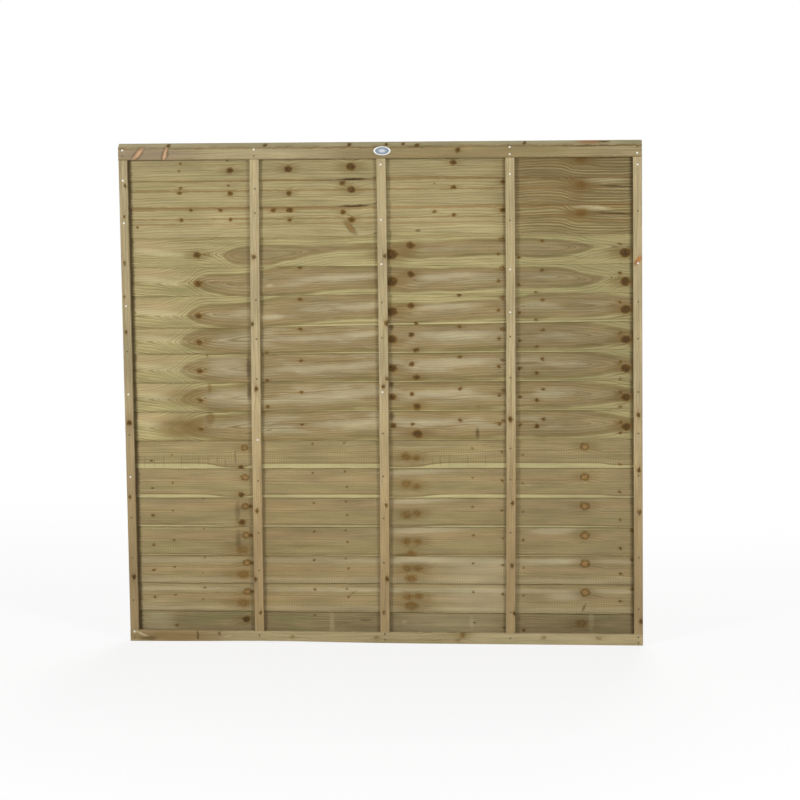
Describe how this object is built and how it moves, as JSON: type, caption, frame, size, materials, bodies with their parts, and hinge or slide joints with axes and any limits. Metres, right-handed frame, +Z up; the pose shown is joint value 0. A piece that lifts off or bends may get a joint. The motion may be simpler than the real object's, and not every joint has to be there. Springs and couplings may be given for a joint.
{
  "type": "overlap fence panel",
  "caption": "Overlap timber fence panel: thin lapped slats clamped between front and rear battens, with bevelled top rails, bottom rails, nails and a plain oval badge.",
  "frame": {"origin": "on the ground under the middle of the panel", "axes": "X along the panel, -Y the front with the nail heads and badge, +Z up"},
  "size_m": [1.828, 0.0497, 1.775],
  "materials": {
    "slat_wood": "sawn pressure-treated softwood, olive-yellow sapwood and pinkish heartwood with knots",
    "batten_wood": "sawn pressure-treated softwood batten, straight grain",
    "rail_wood": "planed pressure-treated softwood rail with spike knots",
    "galvanised_steel": "bright zinc nail heads, some dulled",
    "badge_plate": "plain oval plate, white rim and grey-blue field, no lettering"
  },
  "bodies": {
    "root": {"slat_01": "slat_wood", "slat_02": "slat_wood", "slat_03": "slat_wood", "slat_04": "slat_wood", "slat_05": "slat_wood", "slat_06": "slat_wood", "slat_07": "slat_wood", "slat_08": "slat_wood", "slat_09": "slat_wood", "slat_10": "slat_wood", "slat_11": "slat_wood", "slat_12": "slat_wood", "slat_13": "slat_wood", "slat_14": "slat_wood", "slat_15": "slat_wood", "slat_16": "slat_wood", "slat_17": "slat_wood", "front_batten_1": "batten_wood", "front_batten_2": "batten_wood", "front_batten_3": "batten_wood", "front_batten_4": "batten_wood", "front_batten_5": "batten_wood", "rear_batten_1": "batten_wood", "rear_batten_2": "batten_wood", "rear_batten_3": "batten_wood", "rear_batten_4": "batten_wood", "rear_batten_5": "batten_wood", "top_rail_front": "rail_wood", "top_rail_rear": "rail_wood", "bottom_rail_front": "rail_wood", "bottom_rail_rear": "rail_wood", "batten_nails": "galvanised_steel", "rail_nails": "galvanised_steel", "badge": "badge_plate", "badge_pins": "galvanised_steel"}
  },
  "joints": []
}
